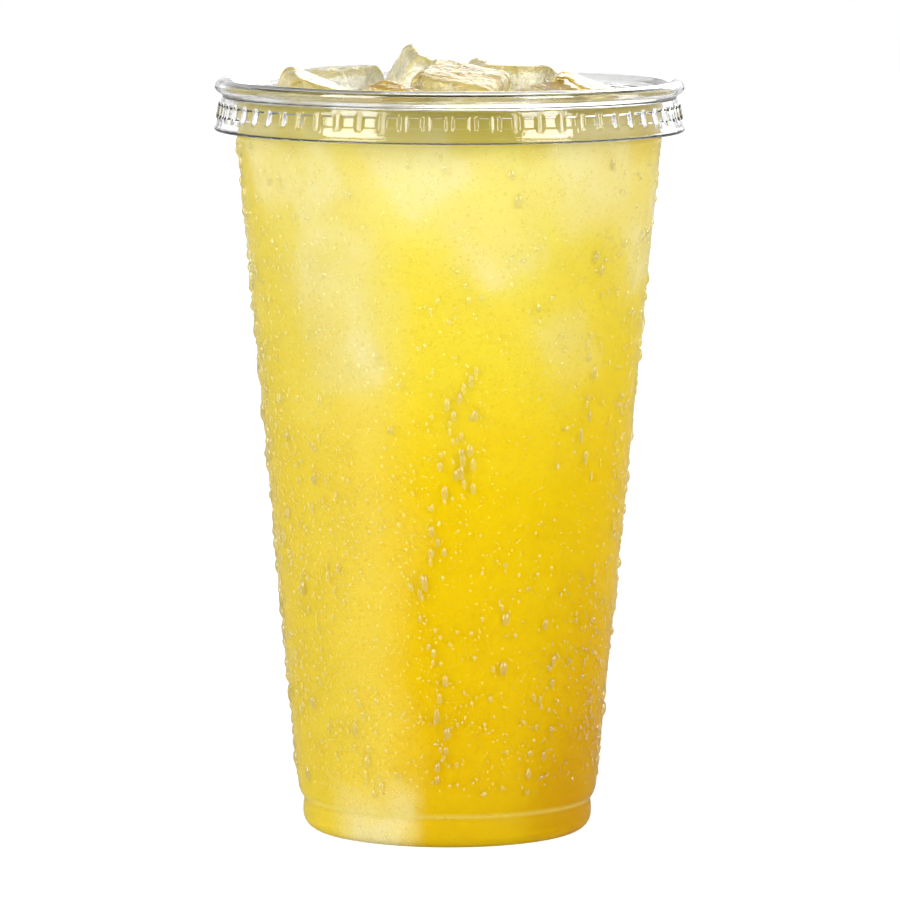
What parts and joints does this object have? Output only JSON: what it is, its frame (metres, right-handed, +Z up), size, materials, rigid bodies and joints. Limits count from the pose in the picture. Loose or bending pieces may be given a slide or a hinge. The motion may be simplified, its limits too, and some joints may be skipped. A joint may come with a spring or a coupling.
{
  "type": "cup of lemonade",
  "caption": "Tall tapered clear plastic cup of cloudy lemonade, filled to the brim and heaped with ice cubes, with a ribbed press-on lid ring round its rim.",
  "frame": {"origin": "on the floor under the middle of the cup's foot", "axes": "+Z up along the cup's axis; the shown front faces -Y, with +X to its right"},
  "size_m": [0.101, 0.101, 0.1687],
  "materials": {
    "clear_plastic": "thin clear glossy plastic, wet with fine condensation",
    "lemonade": "cloudy yellow drink, stands in for a liquid",
    "ice": "clear ice with white cracks, wet"
  },
  "bodies": {
    "root": {"cup": "clear_plastic", "lid_ring": "clear_plastic", "lemonade": "lemonade", "ice_1": "ice", "ice_2": "ice", "ice_3": "ice", "ice_4": "ice", "ice_5": "ice", "ice_6": "ice", "ice_7": "ice", "ice_8": "ice"}
  },
  "joints": []
}
